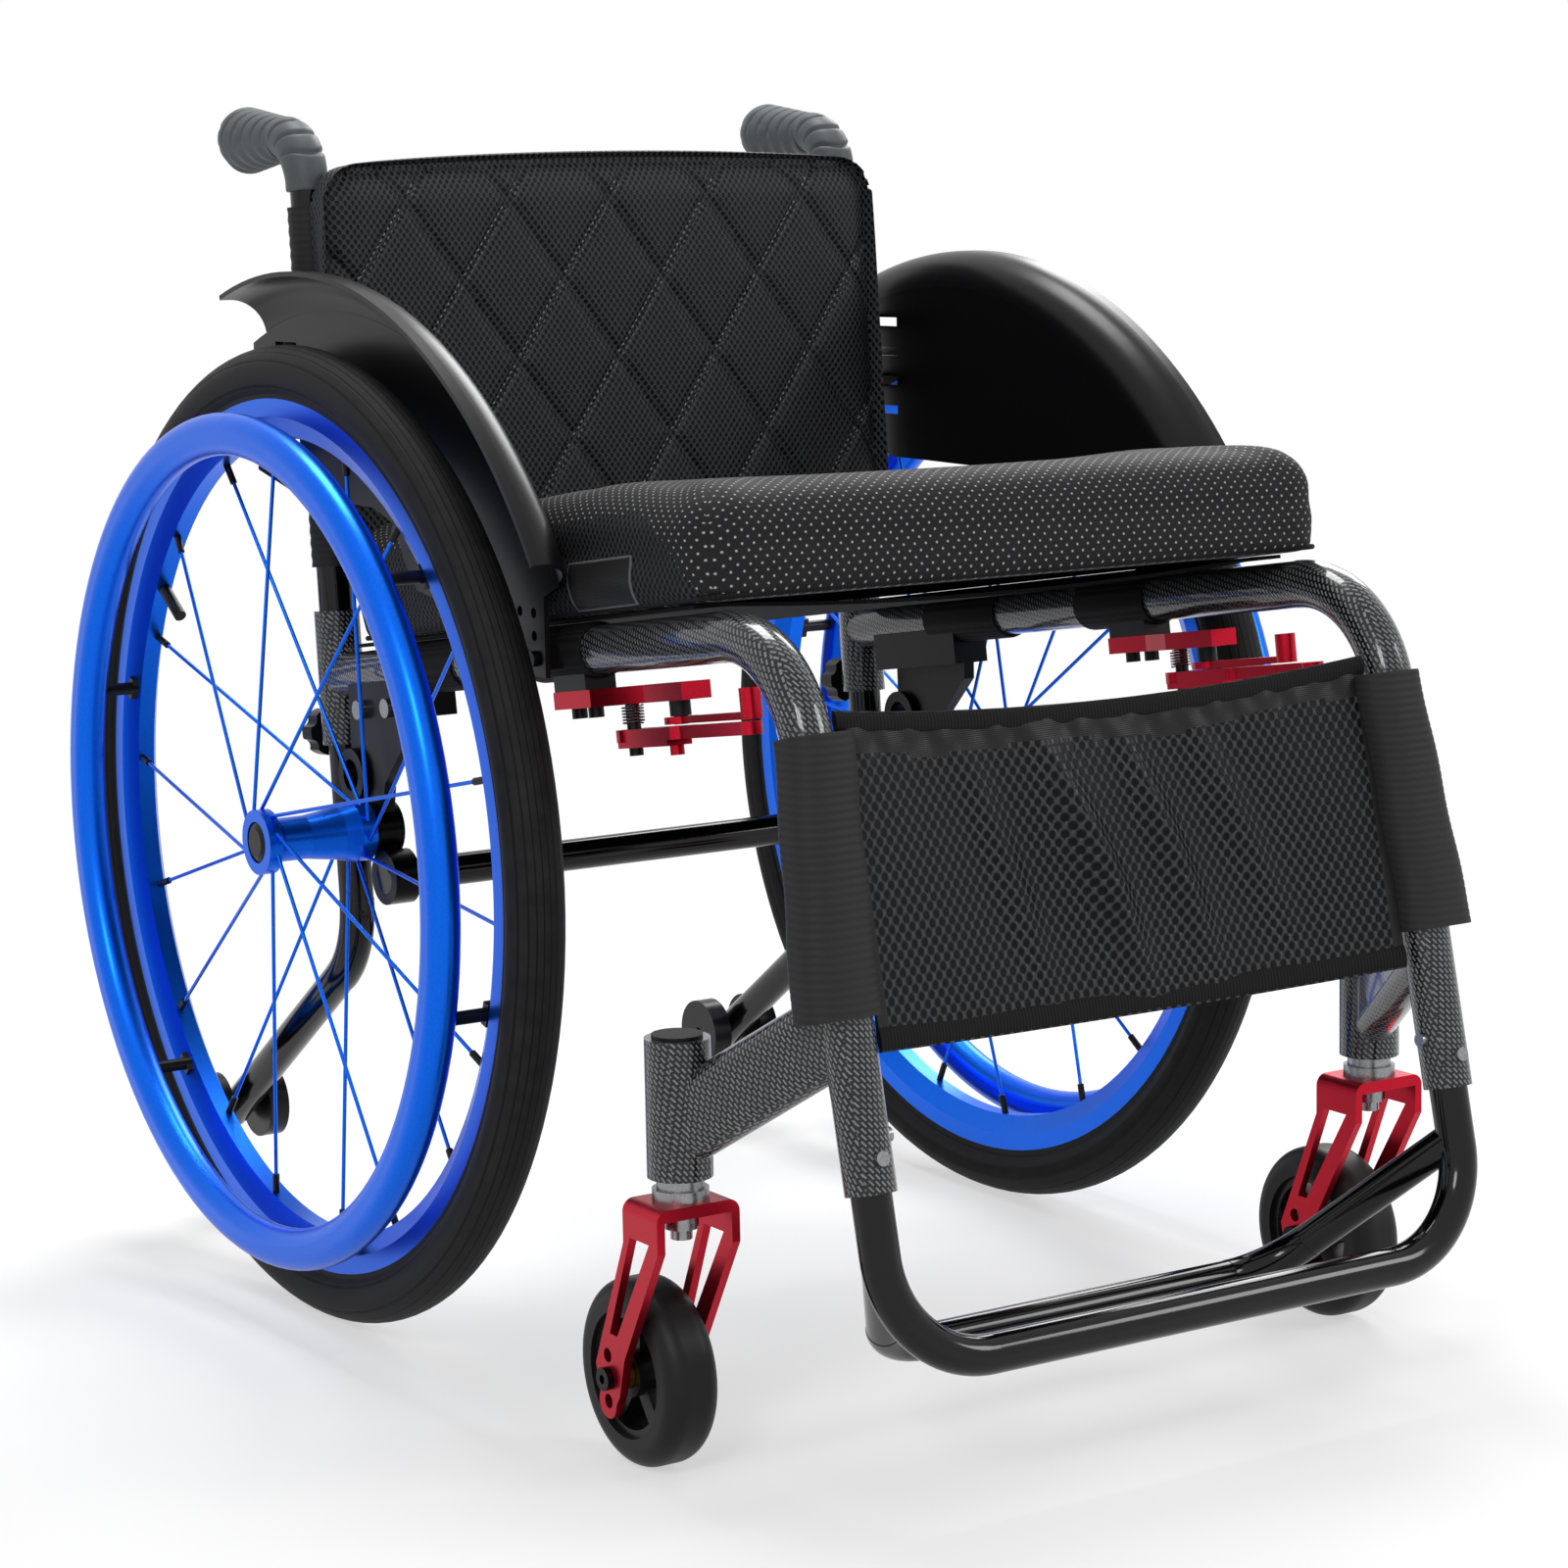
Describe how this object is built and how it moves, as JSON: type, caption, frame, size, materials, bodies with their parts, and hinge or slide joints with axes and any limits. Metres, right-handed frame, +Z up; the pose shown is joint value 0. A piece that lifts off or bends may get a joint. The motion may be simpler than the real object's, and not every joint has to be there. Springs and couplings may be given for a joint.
{
  "type": "sports wheelchair",
  "caption": "Rigid-frame sports wheelchair with blue spoked rear wheels and push rims, red caster forks and brakes, quilted black back and seat",
  "frame": {"origin": "on the floor under the centre of the whole chair", "axes": "+X to the user's left, +Y to the rear, +Z up"},
  "size_m": [0.616, 0.8637, 0.754],
  "materials": {
    "carbon_tube": "clear-coated carbon-weave look on aluminium tube",
    "black_gloss": "gloss black powder coat",
    "plate_grey": "satin black anodised plate",
    "steel": "plain zinc-plated steel",
    "black_plastic": "satin moulded plastic",
    "mesh_cloth": "black spacer mesh and webbing",
    "seat_cloth": "black anti-slip cover cloth",
    "grip_rubber": "soft grey-black grip",
    "red_anodised": "red anodised aluminium",
    "tyre_rubber": "matt black rubber",
    "blue_anodised": "deep blue anodised aluminium",
    "hub_plastic": "moulded caster wheel centre"
  },
  "bodies": {
    "frame": {"side_frame_right": "carbon_tube", "side_frame_left": "carbon_tube", "camber_tube": "black_gloss", "axle_plates": "plate_grey", "plate_bolts": "steel", "wheel_axles": "steel", "stem_caps": "black_plastic", "back_tubes": "black_gloss", "back_sling": "mesh_cloth", "back_pad": "mesh_cloth", "push_grips": "grip_rubber", "seat_sling": "mesh_cloth", "seat_cushion": "seat_cloth", "guard_right": "black_plastic", "guard_left": "black_plastic", "guard_clamps": "black_plastic", "calf_strap": "mesh_cloth", "calf_sleeves": "mesh_cloth", "footrest_screws": "steel", "brake_bars": "red_anodised", "brake_mounts": "black_plastic", "brake_springs": "steel"},
    "footrest": {"footrest_frame": "black_gloss"},
    "wheel_right": {"tyre_right": "tyre_rubber", "rim_right": "blue_anodised", "spokes_right": "blue_anodised", "hub_right": "blue_anodised", "handrim_right": "blue_anodised", "rim_fittings_right": "black_plastic"},
    "button_right": {"release_button_right": "black_plastic"},
    "swivel_right": {"caster_fork_right": "red_anodised", "caster_hardware_right": "steel", "caster_axle_right": "black_gloss"},
    "caster_right": {"caster_tyre_right": "tyre_rubber", "caster_hub_right": "hub_plastic"},
    "lever_right": {"brake_lever_right": "red_anodised"},
    "shoe_right": {"brake_shoe_right": "red_anodised"},
    "tip_right": {"tip_arm_right": "black_gloss"},
    "tip_wheels_right": {"tip_rollers_right": "tyre_rubber"},
    "knob_right": {"star_knob_right": "black_plastic"},
    "wheel_left": {"tyre_left": "tyre_rubber", "rim_left": "blue_anodised", "spokes_left": "blue_anodised", "hub_left": "blue_anodised", "handrim_left": "blue_anodised", "rim_fittings_left": "black_plastic"},
    "button_left": {"release_button_left": "black_plastic"},
    "swivel_left": {"caster_fork_left": "red_anodised", "caster_hardware_left": "steel", "caster_axle_left": "black_gloss"},
    "caster_left": {"caster_tyre_left": "tyre_rubber", "caster_hub_left": "hub_plastic"},
    "lever_left": {"brake_lever_left": "red_anodised"},
    "shoe_left": {"brake_shoe_left": "red_anodised"},
    "tip_left": {"tip_arm_left": "black_gloss"},
    "tip_wheels_left": {"tip_rollers_left": "tyre_rubber"},
    "knob_left": {"star_knob_left": "black_plastic"}
  },
  "joints": [
    {"name": "footrest_height", "type": "slide", "parent": "frame", "child": "footrest", "axis": [0, -0.2233, -0.9748], "range_m": [-0.02, 0.04]},
    {"name": "wheel_spin_right", "type": "hinge", "parent": "frame", "child": "wheel_right", "pos_m": [-0.257, 0.12987, 0.302], "axis": [1, 0, 0], "continuous": true},
    {"name": "axle_release_right", "type": "slide", "parent": "frame", "child": "button_right", "axis": [1, 0, 0], "range_m": [0, 0.004], "stiffness_N_per_m": 600},
    {"name": "caster_swivel_right", "type": "hinge", "parent": "frame", "child": "swivel_right", "pos_m": [-0.243, -0.28213, 0.17], "axis": [0, 0, 1], "continuous": true},
    {"name": "caster_spin_right", "type": "hinge", "parent": "swivel_right", "child": "caster_right", "pos_m": [-0.243, -0.24413, 0.0525], "axis": [1, 0, 0], "continuous": true},
    {"name": "brake_lever_right", "type": "hinge", "parent": "frame", "child": "lever_right", "pos_m": [-0.195, -0.16176, 0.40867], "axis": [0, -0.1392, -0.9903], "range_deg": [0, 60]},
    {"name": "brake_shoe_right", "type": "hinge", "parent": "frame", "child": "shoe_right", "pos_m": [-0.186, -0.1984, 0.41382], "axis": [0, -0.1392, -0.9903], "range_deg": [0, 120]},
    {"name": "tip_arm_right", "type": "hinge", "parent": "frame", "child": "tip_right", "pos_m": [-0.199, 0.19264, 0.34785], "axis": [0, -0.075, -0.9972], "range_deg": [0, 180]},
    {"name": "tip_wheel_spin_right", "type": "hinge", "parent": "tip_right", "child": "tip_wheels_right", "pos_m": [-0.199, 0.3792, 0.07656], "axis": [1, 0, 0], "continuous": true},
    {"name": "knob_turn_right", "type": "hinge", "parent": "frame", "child": "knob_right", "pos_m": [-0.199, 0.21511, 0.35318], "axis": [0, 0.9972, -0.075], "range_deg": [-180, 180]},
    {"name": "wheel_spin_left", "type": "hinge", "parent": "frame", "child": "wheel_left", "pos_m": [0.257, 0.12987, 0.302], "axis": [1, 0, 0], "continuous": true},
    {"name": "axle_release_left", "type": "slide", "parent": "frame", "child": "button_left", "axis": [-1, 0, 0], "range_m": [0, 0.004], "stiffness_N_per_m": 600},
    {"name": "caster_swivel_left", "type": "hinge", "parent": "frame", "child": "swivel_left", "pos_m": [0.243, -0.28213, 0.17], "axis": [0, 0, 1], "continuous": true},
    {"name": "caster_spin_left", "type": "hinge", "parent": "swivel_left", "child": "caster_left", "pos_m": [0.243, -0.24413, 0.0525], "axis": [1, 0, 0], "continuous": true},
    {"name": "brake_lever_left", "type": "hinge", "parent": "frame", "child": "lever_left", "pos_m": [0.195, -0.16176, 0.40867], "axis": [0, 0.1392, 0.9903], "range_deg": [0, 60]},
    {"name": "brake_shoe_left", "type": "hinge", "parent": "frame", "child": "shoe_left", "pos_m": [0.186, -0.1984, 0.41382], "axis": [0, 0.1392, 0.9903], "range_deg": [0, 120]},
    {"name": "tip_arm_left", "type": "hinge", "parent": "frame", "child": "tip_left", "pos_m": [0.199, 0.19264, 0.34785], "axis": [0, 0.075, 0.9972], "range_deg": [0, 180]},
    {"name": "tip_wheel_spin_left", "type": "hinge", "parent": "tip_left", "child": "tip_wheels_left", "pos_m": [0.199, 0.3792, 0.07656], "axis": [1, 0, 0], "continuous": true},
    {"name": "knob_turn_left", "type": "hinge", "parent": "frame", "child": "knob_left", "pos_m": [0.199, 0.21511, 0.35318], "axis": [0, 0.9972, -0.075], "range_deg": [-180, 180]}
  ],
  "couplings": [
    {"joint": "brake_shoe_right", "follows": "brake_lever_right", "ratio": 2},
    {"joint": "brake_shoe_left", "follows": "brake_lever_left", "ratio": 2}
  ]
}
